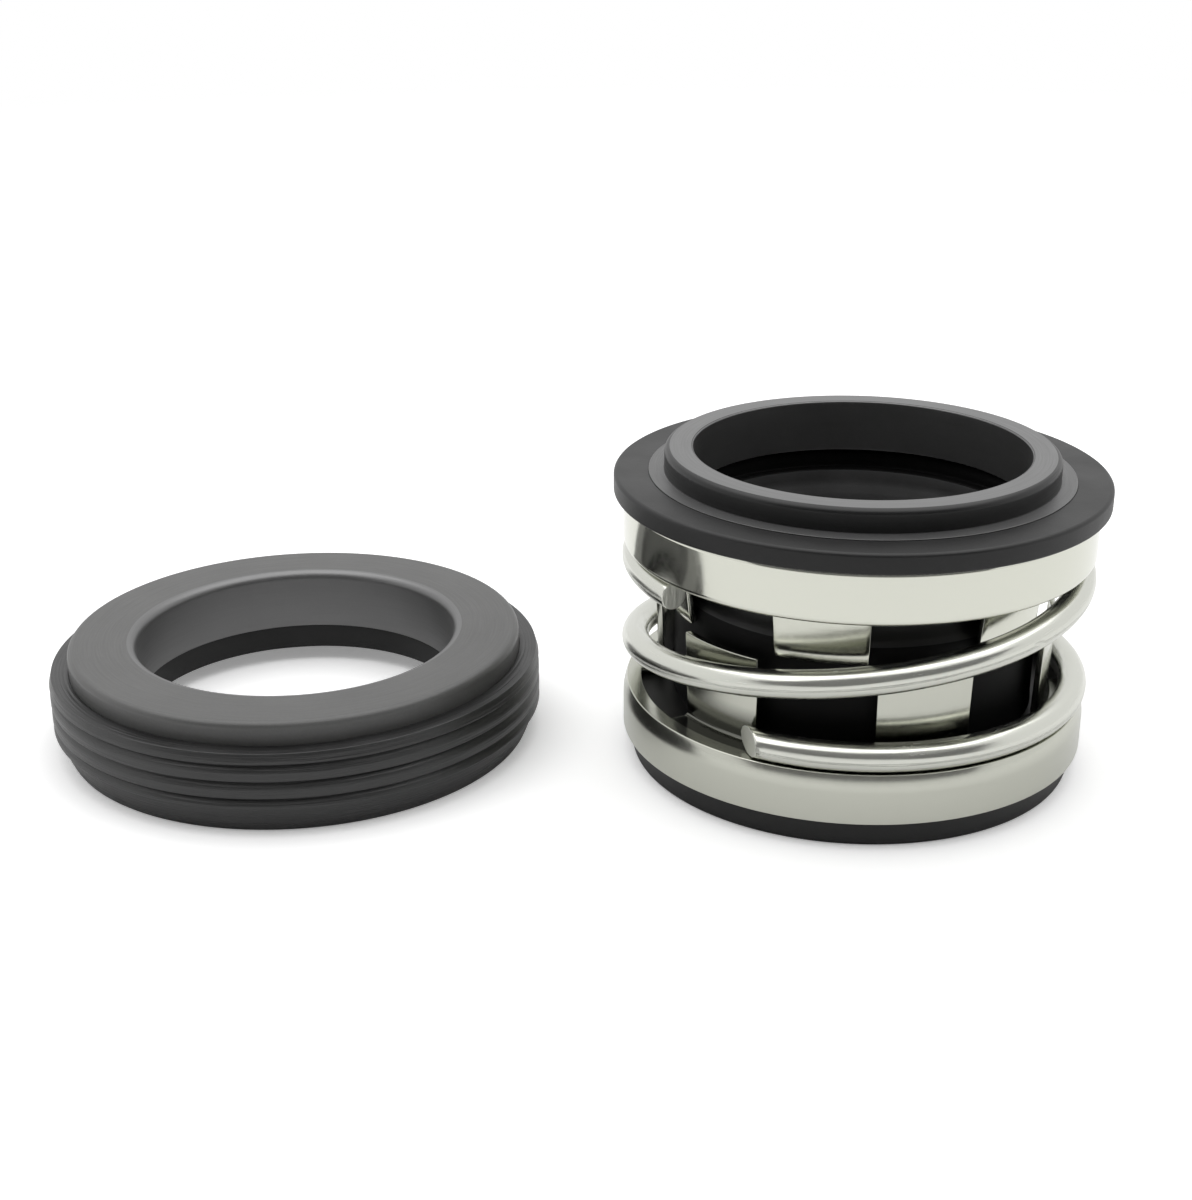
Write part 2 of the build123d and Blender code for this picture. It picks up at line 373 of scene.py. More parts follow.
def wound_wire(sizes, low, high):
    """Sweep the wire's round section along its coil, and cut its ends.

    Its UV map, "Wire", runs from 0 to 1 along the wire and from 0 to 1 round it.
    """
    sides, span_angle, burr = 32, math.radians(2.0), 0.1 * MM
    mesh = bmesh.new()
    turning = sizes.lower_dead + sizes.rising + sizes.upper_dead
    spans = round(turning / span_angle)
    bmesh.ops.create_circle(mesh, cap_ends=False, segments=sides, radius=sizes.wire)
    place = wire_frame(sizes, low, high, 0.0)
    bmesh.ops.transform(mesh, matrix=place, verts=mesh.verts[:])
    ring = mesh.edges[:]
    unrolled = mesh.loops.layers.uv.new("Wire")
    for span in range(1, spans + 1):
        grown = bmesh.ops.extrude_edge_only(mesh, edges=ring)["geom"]
        points = [item for item in grown if isinstance(item, bmesh.types.BMVert)]
        ring = [item for item in grown if isinstance(item, bmesh.types.BMEdge)]
        ring = [edge for edge in ring if all(v in points for v in edge.verts)]
        after = wire_frame(sizes, low, high, turning * span / spans)
        bmesh.ops.transform(mesh, matrix=after @ place.inverted(), verts=points)
        for face in {face for edge in ring for face in edge.link_faces}:
            for loop in face.loops:
                step = span if loop.vert in points else span - 1
                local = (after if step == span else place).inverted() @ loop.vert.co
                lap = math.atan2(local.y, local.x) / math.tau % 1.0
                loop[unrolled].uv = (step / spans, lap)
        place = after
    shear_end(mesh, sizes, low)
    rims = [edge for edge in mesh.edges if edge.is_boundary]
    caps = bmesh.ops.edgeloop_fill(mesh, edges=rims)["faces"]
    for cap in caps:
        cap.material_index = 1
    bmesh.ops.bevel(
        mesh,
        geom=[edge for cap in caps for edge in cap.edges],
        offset=burr,
        offset_type="OFFSET",
        segments=2,
        profile=0.5,
        affect="EDGES",
        material=-1,
    )
    bmesh.ops.remove_doubles(mesh, verts=mesh.verts[:], dist=HAIR)
    bmesh.ops.recalc_face_normals(mesh, faces=mesh.faces[:])
    return mesh


def shear_end(mesh, sizes, low):
    """Cut the wire's lower end on a slant that faces outwards, and leave the other turns whole."""
    slant, reach = math.radians(52), 3.6 * MM
    place = wire_frame(sizes, low, low, 0.0)
    outward, along = place.col[0].to_3d(), place.col[2].to_3d()
    end = place.to_translation()
    near = [face for face in mesh.faces if (face.calc_center_median() - end).length < reach]
    points = dict.fromkeys(vertex for face in near for vertex in face.verts)
    lines = dict.fromkeys(edge for face in near for edge in face.edges)
    bmesh.ops.bisect_plane(
        mesh,
        geom=[*near, *points, *lines],
        plane_co=end - outward * sizes.wire,
        plane_no=outward * math.sin(slant) - along * math.cos(slant),
        clear_outer=True,
    )


# Finishes

def add_node(tree, kind, values=None, **settings):
    """Add a node. Settings are its own fields, and values its inputs: numbers or sockets."""
    node = tree.nodes.new(kind)
    for field, value in settings.items():
        setattr(node, field, value)
    for socket, value in (values or {}).items():
        if isinstance(value, bpy.types.NodeSocket):
            tree.links.new(value, node.inputs[socket])
        else:
            node.inputs[socket].default_value = value
    return node


def new_finish(name):
    """A material without nodes, and its node tree."""
    material = bpy.data.materials.new(name)
    material.use_nodes = True
    material.node_tree.nodes.clear()
    return material, material.node_tree


def lathe_vector(tree, axis_at, fine, slow):
    """Coordinates for marks that run round a turned surface, and plain ones in millimetres.

    fine counts the marks in a millimetre across them, and slow their changes in a millimetre
    along them. The results are a noise's Vector and W, and the plain Vector.
    """
    coordinates = add_node(tree, "ShaderNodeTexCoord")
    centred = add_node(tree, "ShaderNodeMapping", {
        "Vector": coordinates.outputs["Object"],
        "Location": (-axis_at[0] / MM, -axis_at[1] / MM, 0.0),
        "Scale": (1 / MM, 1 / MM, 1 / MM),
    })
    flat = add_node(tree, "ShaderNodeVectorMath", {
        0: centred.outputs["Vector"],
        1: (1.0, 1.0, 0.0),
    }, operation="MULTIPLY")
    radius = add_node(tree, "ShaderNodeVectorMath", {
        0: flat.outputs["Vector"],
    }, operation="LENGTH")
    split = add_node(tree, "ShaderNodeSeparateXYZ", {0: centred.outputs["Vector"]})
    unrolled = add_node(tree, "ShaderNodeCombineXYZ", {
        "X": radius.outputs["Value"],
        "Y": split.outputs["Z"],
        "Z": split.outputs["X"],
    })
    lathe = add_node(tree, "ShaderNodeVectorMath", {
        0: unrolled.outputs["Vector"],
        1: (fine, fine, slow),
    }, operation="MULTIPLY")
    fourth = add_node(tree, "ShaderNodeMath", {
        0: split.outputs["Y"],
        1: slow,
    }, operation="MULTIPLY")
    return lathe.outputs["Vector"], fourth.outputs["Value"], centred.outputs["Vector"]


def silicon_carbide(name, tint, axis_at, index, roughness):
    """Sintered silicon carbide, either ground or lapped.

    Grinding leaves matt walls with faint rings from the wheel, and lapping a denser,
    satin grey that mirrors at low angles. Both show a fine grain.

    The wheel's rings are some 0.02 mm apart and the grain 0.01 mm wide, too fine to show, so
    they are drawn at 9 and 4.5 to a millimetre. The blank's tone varies in 6 mm patches.
    """
    ring_rate, ring_run_rate, grain_rate, cloud_rate = 9.0, 0.25, 4.5, 0.16
    relief_depth, relief_strength, spread = 0.02 * MM, 0.15, 0.05
    material, tree = new_finish(name)
    lathe, lathe_w, millimetres = lathe_vector(tree, axis_at, ring_rate, ring_run_rate)
    rings = add_node(tree, "ShaderNodeTexNoise", {
        "Vector": lathe,
        "W": lathe_w,
        "Scale": 1.0,
        "Detail": 3.0,
    }, noise_dimensions="4D")
    grain = add_node(tree, "ShaderNodeTexNoise", {
        "Vector": millimetres,
        "Scale": grain_rate,
        "Detail": 4.0,
        "Roughness": 0.7,
    })
    clouds = add_node(tree, "ShaderNodeTexNoise", {
        "Vector": millimetres,
        "Scale": cloud_rate,
        "Detail": 2.0,
    })
    speckle = add_node(tree, "ShaderNodeMix", {
        "Factor": grain.outputs["Fac"],
        "A": shade(tint, 0.82),
        "B": shade(tint, 1.18),
    }, data_type="RGBA")
    tone = add_node(tree, "ShaderNodeMapRange", {
        "Value": clouds.outputs["Fac"],
        "From Min": 0.3,
        "From Max": 0.7,
        "To Min": 0.92,
        "To Max": 1.08,
    })
    uneven = add_node(tree, "ShaderNodeHueSaturation", {
        "Color": speckle.outputs["Result"],
        "Value": tone.outputs["Result"],
    })
    relief = add_node(tree, "ShaderNodeBump", {
        "Height": rings.outputs["Fac"],
        "Strength": relief_strength,
        "Distance": relief_depth,
    })
    pitted = add_node(tree, "ShaderNodeBump", {
        "Height": grain.outputs["Fac"],
        "Strength": relief_strength,
        "Distance": relief_depth,
        "Normal": relief.outputs["Normal"],
    })
    sheen = add_node(tree, "ShaderNodeMapRange", {
        "Value": rings.outputs["Fac"],
        "From Min": 0.3,
        "From Max": 0.7,
        "To Min": roughness - spread,
        "To Max": roughness + spread,
    })
    surface = add_node(tree, "ShaderNodeBsdfPrincipled", {
        "Base Color": uneven.outputs["Color"],
        "Roughness": sheen.outputs["Result"],
        "IOR": index,
        "Normal": pitted.outputs["Normal"],
    })
    add_node(tree, "ShaderNodeOutputMaterial", {"Surface": surface.outputs["BSDF"]})
    return material


def moulded_rubber(name, tint, axis_at, index, roughness, marks=0.0045 * MM):
    """Nitrile rubber, moulded in a turned steel mould.

    Near black with a soft sheen, faint rings copied from the mould's turning marks,
    and a slight uneven bloom that greys it in places. marks is how deep the rings are.

    Turning marks are some 0.08 mm apart and the skin's pebbles 0.05 mm wide, too fine to
    show, so they are drawn at 5 and 6 to a millimetre. The bloom's patches are 4 to 5 mm.
    """
    ring_rate, ring_run_rate, pebble_rate, bloom_rate = 5.0, 0.12, 6.0, 0.22
    pebble_depth, spread = 0.03 * MM, 0.05
    material, tree = new_finish(name)
    lathe, lathe_w, millimetres = lathe_vector(tree, axis_at, ring_rate, ring_run_rate)
    rings = add_node(tree, "ShaderNodeTexNoise", {
        "Vector": lathe,
        "W": lathe_w,
        "Scale": 1.0,
        "Detail": 2.0,
    }, noise_dimensions="4D")
    skin = add_node(tree, "ShaderNodeTexNoise", {
        "Vector": millimetres,
        "Scale": pebble_rate,
        "Detail": 3.0,
        "Roughness": 0.6,
    })
    bloom_and_painted_light = add_node(tree, "ShaderNodeTexNoise", {
        "Vector": millimetres,
        "Scale": bloom_rate,
        "Detail": 3.0,
    })
    patches = add_node(tree, "ShaderNodeMapRange", {
        "Value": bloom_and_painted_light.outputs["Fac"],
        "From Min": 0.35,
        "From Max": 0.7,
    })
    greyed = add_node(tree, "ShaderNodeMix", {
        "Factor": patches.outputs["Result"],
        "A": tint,
        "B": shade(tint, 1.35),
    }, data_type="RGBA")
    relief = add_node(tree, "ShaderNodeBump", {
        "Height": rings.outputs["Fac"],
        "Strength": 1.0,
        "Distance": marks,
    })
    pebbled = add_node(tree, "ShaderNodeBump", {
        "Height": skin.outputs["Fac"],
        "Strength": 0.2,
        "Distance": pebble_depth,
        "Normal": relief.outputs["Normal"],
    })
    sheen = add_node(tree, "ShaderNodeMapRange", {
        "Value": bloom_and_painted_light.outputs["Fac"],
        "From Min": 0.3,
        "From Max": 0.7,
        "To Min": roughness - spread,
        "To Max": roughness + spread,
    })
    surface = add_node(tree, "ShaderNodeBsdfPrincipled", {
        "Base Color": greyed.outputs["Result"],
        "Roughness": sheen.outputs["Result"],
        "IOR": index,
        "Normal": pebbled.outputs["Normal"],
    })
    add_node(tree, "ShaderNodeOutputMaterial", {"Surface": surface.outputs["BSDF"]})
    return material


def pressed_stainless(name, tint, roughness, painted_shade_band=None):
    """Cold-rolled stainless sheet, deep drawn and tumble polished.

    A soft mirror: the drawing leaves faint lines round the wall, and the tumbling
    leaves fine random scuffs that spread the highlights. An optional band of two heights
    adds painted shade: below the lower height the colour is darkened for the shade in an
    inside corner, and it fades back to the plain colour by the upper one.

    Drawing lines are some 0.02 mm apart and scuffs 0.1 mm wide, too fine to show, so they
    are drawn at 7 and 2.2 to a millimetre.
    """
    line_rate, line_run_rate, scuff_rate = 7.0, 0.15, 2.2
    # The last of these is how dark the painted shade gets, as a share of the colour.
    line_depth, spread, painted_shading = 0.01 * MM, 0.02, 0.28
    material, tree = new_finish(name)
    lathe, lathe_w, millimetres = lathe_vector(tree, HEAD_AXIS, line_rate, line_run_rate)
    drawn = add_node(tree, "ShaderNodeTexNoise", {
        "Vector": lathe,
        "W": lathe_w,
        "Scale": 1.0,
        "Detail": 3.0,
    }, noise_dimensions="4D")
    scuffs = add_node(tree, "ShaderNodeTexNoise", {
        "Vector": millimetres,
        "Scale": scuff_rate,
        "Detail": 3.0,
        "Roughness": 0.6,
    })
    relief = add_node(tree, "ShaderNodeBump", {
        "Height": drawn.outputs["Fac"],
        "Strength": 0.05,
        "Distance": line_depth,
    })
    metal = tint
    # Painted shade: the colour darkens towards the bottom of the band.
    if painted_shade_band:
        split = add_node(tree, "ShaderNodeSeparateXYZ", {0: millimetres})
        faded = add_node(tree, "ShaderNodeMapRange", {
            "Value": split.outputs["Z"],
            "From Min": painted_shade_band[0] / MM,
            "From Max": painted_shade_band[1] / MM,
        })
        painted_shade_mix = add_node(tree, "ShaderNodeMix", {
            "Factor": faded.outputs["Result"],
            "A": shade(tint, painted_shading),
            "B": tint,
        }, data_type="RGBA")
        metal = painted_shade_mix.outputs["Result"]
    sheen = add_node(tree, "ShaderNodeMapRange", {
        "Value": scuffs.outputs["Fac"],
        "From Min": 0.35,
        "From Max": 0.65,
        "To Min": roughness - spread,
        "To Max": roughness + spread,
    })
    surface = add_node(tree, "ShaderNodeBsdfPrincipled", {
        "Base Color": metal,
        "Metallic": 1.0,
        "Roughness": sheen.outputs["Result"],
        "Normal": relief.outputs["Normal"],
    })
    add_node(tree, "ShaderNodeOutputMaterial", {"Surface": surface.outputs["BSDF"]})
    return material


def drawn_wire(name, tint, whole_length):
    """Stainless spring wire, drawn through a die and coiled bright.

    Fine die lines run along the wire, so its highlights are long and streaky, and the
    coiling rolls leave long shallow waves that bend them.

    Die lines are some 0.02 mm wide and wouldn't show. Rates are to a wire radius, 1.1 mm,
    across and to 12 mm along, so the lines are drawn 0.2 mm wide and 2.4 mm long. The waves
    are 0.7 mm wide and 7.5 mm long.
    """
    line_rate, wave_rate, counted_length = 5.0, 1.6, 12 * MM
    line_depth, wave_depth = 0.02 * MM, 0.12 * MM
    material, tree = new_finish(name)
    along = add_node(tree, "ShaderNodeUVMap", uv_map="Wire")
    stretched = add_node(tree, "ShaderNodeMapping", {
        "Vector": along.outputs["UV"],
        "Scale": (whole_length / counted_length, 1.0, 1.0),
    })
    split = add_node(tree, "ShaderNodeSeparateXYZ", {0: stretched.outputs["Vector"]})
    lap = add_node(tree, "ShaderNodeMath", {
        0: split.outputs["Y"],
        1: math.tau,
    }, operation="MULTIPLY")
    lap_x = add_node(tree, "ShaderNodeMath", {0: lap.outputs["Value"]}, operation="COSINE")
    lap_y = add_node(tree, "ShaderNodeMath", {0: lap.outputs["Value"]}, operation="SINE")
    joined = add_node(tree, "ShaderNodeCombineXYZ", {
        "X": lap_x.outputs["Value"],
        "Y": lap_y.outputs["Value"],
        "Z": split.outputs["X"],
    })
    die_lines = add_node(tree, "ShaderNodeTexNoise", {
        "Vector": joined.outputs["Vector"],
        "Scale": line_rate,
        "Detail": 4.0,
        "Roughness": 0.6,
    })
    waves = add_node(tree, "ShaderNodeTexNoise", {
        "Vector": joined.outputs["Vector"],
        "Scale": wave_rate,
        "Detail": 1.0,
    })
    bent = add_node(tree, "ShaderNodeBump", {
        "Height": waves.outputs["Fac"],
        "Strength": 0.5,
        "Distance": wave_depth,
    })
    relief = add_node(tree, "ShaderNodeBump", {
        "Height": die_lines.outputs["Fac"],
        "Strength": 0.06,
        "Distance": line_depth,
        "Normal": bent.outputs["Normal"],
    })
    sheen = add_node(tree, "ShaderNodeMapRange", {
        "Value": die_lines.outputs["Fac"],
        "From Min": 0.3,
        "From Max": 0.7,
        "To Min": 0.18,
        "To Max": 0.28,
    })
    surface = add_node(tree, "ShaderNodeBsdfPrincipled", {
        "Base Color": tint,
        "Metallic": 1.0,
        "Roughness": sheen.outputs["Result"],
        "Normal": relief.outputs["Normal"],
    })
    add_node(tree, "ShaderNodeOutputMaterial", {"Surface": surface.outputs["BSDF"]})
    return material


def sheared_wire(name, tint):
    """The cut ends of the spring wire: torn, matt steel with streaks from the shear.

    The tears are some 0.1 mm wide, too fine to show, so they are drawn at 3 to a millimetre.
    """
    across, down, depth = 3 / MM, 0.5 / MM, 0.1 * MM
    material, tree = new_finish(name)
    coordinates = add_node(tree, "ShaderNodeTexCoord")
    stretched = add_node(tree, "ShaderNodeMapping", {
        "Vector": coordinates.outputs["Object"],
        "Scale": (across, across, down),
    })
    streaks = add_node(tree, "ShaderNodeTexNoise", {
        "Vector": stretched.outputs["Vector"],
        "Scale": 1.0,
        "Detail": 3.0,
        "Roughness": 0.6,
    })
    relief = add_node(tree, "ShaderNodeBump", {
        "Height": streaks.outputs["Fac"],
        "Strength": 0.6,
        "Distance": depth,
    })
    sheen = add_node(tree, "ShaderNodeMapRange", {
        "Value": streaks.outputs["Fac"],
        "From Min": 0.3,
        "From Max": 0.7,
        "To Min": 0.5,
        "To Max": 0.65,
    })
    surface = add_node(tree, "ShaderNodeBsdfPrincipled", {
        "Base Color": tint,
        "Metallic": 1.0,
        "Roughness": sheen.outputs["Result"],
        "Normal": relief.outputs["Normal"],
    })
    add_node(tree, "ShaderNodeOutputMaterial", {"Surface": surface.outputs["BSDF"]})
    return material


def shade(tint, factor):
    """A colour made darker or lighter."""
    return (*(part * factor for part in tint[:3]), 1.0)


# Pieces

class SEAL_OT_primary_ring(bpy.types.Operator):
    """Build the primary ring, whose raised nose carries the lapped sealing face"""

    bl_idname = "seal.primary_ring"
    bl_label = "Primary ring"

    def execute(self, context):
        sizes = context.scene.seal.head
        colours = context.scene.seal.colours
        mesh = turned([
            (sizes.ring_bore, sizes.ring_base, 0.08 * MM),
            (sizes.ring, sizes.ring_base, 0.1 * MM),
            (sizes.ring, sizes.shoulder, 0.05 * MM),
            (sizes.nose, sizes.shoulder, 0.05 * MM),
            (sizes.nose, sizes.face, 0.5 * MM),
            (sizes.ring_bore, sizes.face, 0.15 * MM),
        ])
        level, upward = 0.99, 0.3
        for face in mesh.faces:
            middle = face.calc_center_median()
            on_face = face.normal.z > level and middle.z > sizes.shoulder + EDGE
            if on_face or middle.xy.length < sizes.ring_bore + EDGE:
                face.material_index = 1
            # Upward faces of the step take the lighter shoulder colour: painted light.
            elif face.normal.z > upward and middle.z < sizes.shoulder + HAIR:
                face.material_index = 2
        finishes = [
            silicon_carbide(name, tint, HEAD_AXIS, index, roughness)
            for name, tint, index, roughness in (
                # The ground walls' darker colour is partly painted shade.
                ("Silicon carbide, ground", colours.ground, 1.42, 0.38),
                ("Silicon carbide, lapped", colours.lapped, 2.1, 0.34),
                # The step's lighter colour is painted light.
                ("Silicon carbide, step, painted light", colours.shoulder, 1.6, 0.38),
            )
        ]
        piece = finished(mesh, "primary_ring", "primary_ring", *finishes)
        keep_flats_flat(piece)
        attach(piece, "face_end")
        return {"FINISHED"}


class SEAL_OT_bellows(bpy.types.Operator):
    """Build the rubber bellows, from its thick tail to the flange round the ring"""

    bl_idname = "seal.bellows"
    bl_label = "Bellows"

    def execute(self, context):
        sizes = context.scene.seal.head
        fit, fold_height = 0.03 * MM, 3.8 * MM
        fold_depth, inner_depth = 1.5 * MM, 0.8 * MM
        step = 0.5 * MM         # half the height of the cone between sleeve and tail
        plug = sizes.shell - sizes.sheet - fit
        plug_top = sizes.lower_shelf - sizes.sheet - fit
        cup_base = sizes.upper_shelf + sizes.sheet
        fold_base = cup_base - fold_height
        fold_middle = cup_base - fold_height / 2
        recess_floor = sizes.ring_base - 1.8 * MM
        mesh = turned([
            (sizes.shaft, 0.0, 0.25 * MM),
            (sizes.tail, 0.0, 0.35 * MM),
            (sizes.tail, sizes.tail_top, 0.0),
            (plug, sizes.tail_top, 0.0),
            (plug, plug_top, 0.65 * MM),
            (sizes.sleeve, plug_top, 0.05 * MM),
            (sizes.sleeve, fold_base, 0.6 * MM),
            (sizes.sleeve - fold_depth, fold_middle, 1.5 * MM),
            (sizes.sleeve, cup_base, 0.05 * MM),
            (plug, cup_base, 0.25 * MM),
            (plug, sizes.flange_base, 0.0),
            (sizes.flange, sizes.flange_base, 0.2 * MM),
            (sizes.flange, sizes.flange_top, 0.3 * MM),
            (sizes.cup_bore, sizes.flange_top, 0.02 * MM),
            (sizes.cup_bore, sizes.ring_base, 0.0),
            (sizes.recess, sizes.ring_base, 0.0),
            (sizes.recess, recess_floor, 0.2 * MM),
            (sizes.sleeve_bore, recess_floor, 0.06 * MM),
            (sizes.sleeve_bore, cup_base, 0.3 * MM),
            (sizes.sleeve_bore - inner_depth, fold_middle, 1.2 * MM),
            (sizes.sleeve_bore, fold_base, 0.5 * MM),
            (sizes.sleeve_bore, sizes.lower_shelf + step, 0.3 * MM),
            (sizes.shaft, sizes.lower_shelf - step, 0.3 * MM),
        ])
        for face in mesh.faces:
            middle = face.calc_center_median()
            outside = face.normal.xy.dot(middle.xy) > 0
            in_reach = middle.xy.length < sizes.sleeve + EDGE
            # Faces by the sleeve, among the tabs and in the recess, take the darker dusted rubber:
            # painted shade.
            if in_reach and not (outside and middle.z > fold_base):
                # The inside of the sleeve takes the lighter inner colour: painted light.
                in_sleeve = not outside and sizes.lower_shelf < middle.z < recess_floor - 2 * EDGE
                face.material_index = 2 if in_sleeve else 1
        colours = context.scene.seal.colours
        finishes = [
            moulded_rubber(name, tint, HEAD_AXIS, index, roughness)
            for name, tint, index, roughness in (
                ("Moulded nitrile rubber", colours.bellows, 1.42, 0.45),
                # Dusted, with a darker colour that is painted shade.
                ("Moulded nitrile rubber, dusted, painted shade", colours.sleeve, 1.25, 0.65),
                # A lighter grey that is painted light.
                ("Moulded nitrile rubber, painted light", colours.bloom_and_painted_light, 1.42, 0.5),
            )
        ]
        piece = finished(mesh, "bellows", "bellows", *finishes)
        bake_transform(piece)
        keep_flats_flat(piece)
        return {"FINISHED"}


class SEAL_OT_shells(bpy.types.Operator):
    """Build the two pressed shells with their interleaved drive tabs"""

    bl_idname = "seal.shells"
    bl_label = "Pressed shells"

    def execute(self, context):
        sizes = context.scene.seal.head
        colours = context.scene.seal.colours
        # Painted shade on the lower tabs and shelf: the metal is darkened below these heights for
        # the shade in the inside corner, and fades back between them.
        painted_shade_band = (sizes.lower_shelf + 1.5 * MM, sizes.lower_shelf + 2.9 * MM)
        bright, scuffed, rolled, tumbled_painted_shade, painted_shade = (
            pressed_stainless("Stainless sheet, " + state, tint, roughness, painted_shading)
            for state, tint, roughness, painted_shading in (
                ("deep drawn and polished", colours.sheet, 0.12, None),
                ("bent and scuffed", colours.sheet, 0.17, None),
                ("matt as rolled", colours.sheet, 0.5, None),
                # The lower shell's darker colour is painted shade.
                ("deep drawn and tumbled, painted shade", colours.painted_shade_sheet, 0.21, None),
                ("bent and stained", colours.painted_shade_sheet, 0.17, painted_shade_band),
            )
        )
        rim_in, rim_height = 0.25 * MM, 0.3 * MM
        shoulder_in, shoulder_height = 0.32 * MM, 0.7 * MM
        # The upper tabs lean inwards, more so below a soft bend, and end in a lip. The lower
        # ones lean outwards.
        root_in, bend_in, lip_in, tip_in = 0.1 * MM, 0.5 * MM, 0.66 * MM, 0.95 * MM
        bend_height, lip_height = 2.3 * MM, 0.95 * MM
        lower_root_in, lower_tip_out = 0.25 * MM, 0.05 * MM
        upper = pressed([
            (sizes.shell - rim_in, sizes.flange_base, 0.0),
            (sizes.shell, sizes.flange_base - rim_height, 0.2 * MM),
            (sizes.shell, sizes.upper_shelf, 0.52 * MM),
            (sizes.window, sizes.upper_shelf, 0.0),
            (sizes.tab - root_in, sizes.upper_shelf, 0.45 * MM),
            (sizes.tab - bend_in, sizes.upper_tip + bend_height, 0.6 * MM),
            (sizes.tab - lip_in, sizes.upper_tip + lip_height, 0.2 * MM),
            (sizes.tab - tip_in, sizes.upper_tip, 0.0),
        ], sizes.upper_tab_side, sizes)
        lower = pressed([
            (sizes.shell, sizes.tail_top, 0.0),
            (sizes.shell, sizes.lower_shelf - shoulder_height, 0.7 * MM),
            (sizes.shell - shoulder_in, sizes.lower_shelf, 0.06 * MM),
            (sizes.window, sizes.lower_shelf, 0.0),
            (sizes.tab - lower_root_in, sizes.lower_shelf, 0.35 * MM),
            (sizes.tab + lower_tip_out, sizes.lower_tip, 0.0),
        ], sizes.lower_tab_side, sizes)
        tabs_reach, downward = sizes.window + 3 * EDGE, -0.8
        for mesh, node, body, *finishes in (
            (upper, "upper_shell", "face_end", bright, scuffed, rolled),
            (lower, "lower_shell", "drive_end", tumbled_painted_shade, painted_shade),
        ):
            for face in mesh.faces:
                face.material_index = int(face.calc_center_median().xy.length < tabs_reach)
                if face.normal.z < downward:
                    face.material_index = len(finishes) - 1
            piece = finished(mesh, node, "shells", *finishes)
            give_sheet_thickness(piece, sizes.sheet)
            keep_flats_flat(piece)
            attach(piece, body)
        return {"FINISHED"}


class SEAL_OT_coil_spring(bpy.types.Operator):
    """Wind the coil spring between the two shelves"""

    bl_idname = "seal.coil_spring"
    bl_label = "Coil spring"

    def execute(self, context):
        head = context.scene.seal.head
        sizes = context.scene.seal.spring
        low = head.lower_shelf + sizes.wire + sizes.gap
        high = head.upper_shelf - sizes.wire - sizes.gap
        mesh = wound_wire(sizes, low, high)
        whole_length = (sizes.lower_dead + sizes.rising + sizes.upper_dead) * sizes.coil
        tint = context.scene.seal.colours.wire
        finish = drawn_wire("Drawn stainless spring wire", tint, whole_length)
        ends = sheared_wire("Sheared stainless wire ends", tint)
        piece = finished(mesh, "coil_spring", "spring", finish, ends)
        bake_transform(piece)
        keep_flats_flat(piece)
        return {"FINISHED"}


class SEAL_OT_seat_ring(bpy.types.Operator):
    """Build the seat ring, whose lapped face the head runs against"""

    bl_idname = "seal.seat_ring"
    bl_label = "Seat ring"

    def execute(self, context):
        sizes = context.scene.seal.seat
        colours = context.scene.seal.colours
        mesh = turned([
            (sizes.bore, sizes.back, 0.1 * MM),
            (sizes.ring, sizes.back, 0.1 * MM),
            (sizes.ring, sizes.face, 0.55 * MM),
            (sizes.bore, sizes.face, 0.7 * MM),
        ])
        polished_lip, downward = 0.65 * MM, -0.5
        for face in mesh.faces:
            in_bore = face.calc_center_median().xy.length < sizes.bore + polished_lip
            face.material_index = int(in_bore and face.normal.z > downward)
        placed(mesh, SEAT_AXIS)
        finishes = [
            silicon_carbide(name, tint, SEAT_AXIS, index, roughness)
            for name, tint, index, roughness in (
                ("Silicon carbide, fine ground", colours.seat_ground, 1.6, 0.44),
                ("Silicon carbide, polished bore", colours.lapped, 2.2, 0.42),
            )
        ]
        piece = finished(mesh, "seat_ring", "seat_ring", *finishes)
        keep_flats_flat(piece)
        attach(piece, "drive_end")
        return {"FINISHED"}


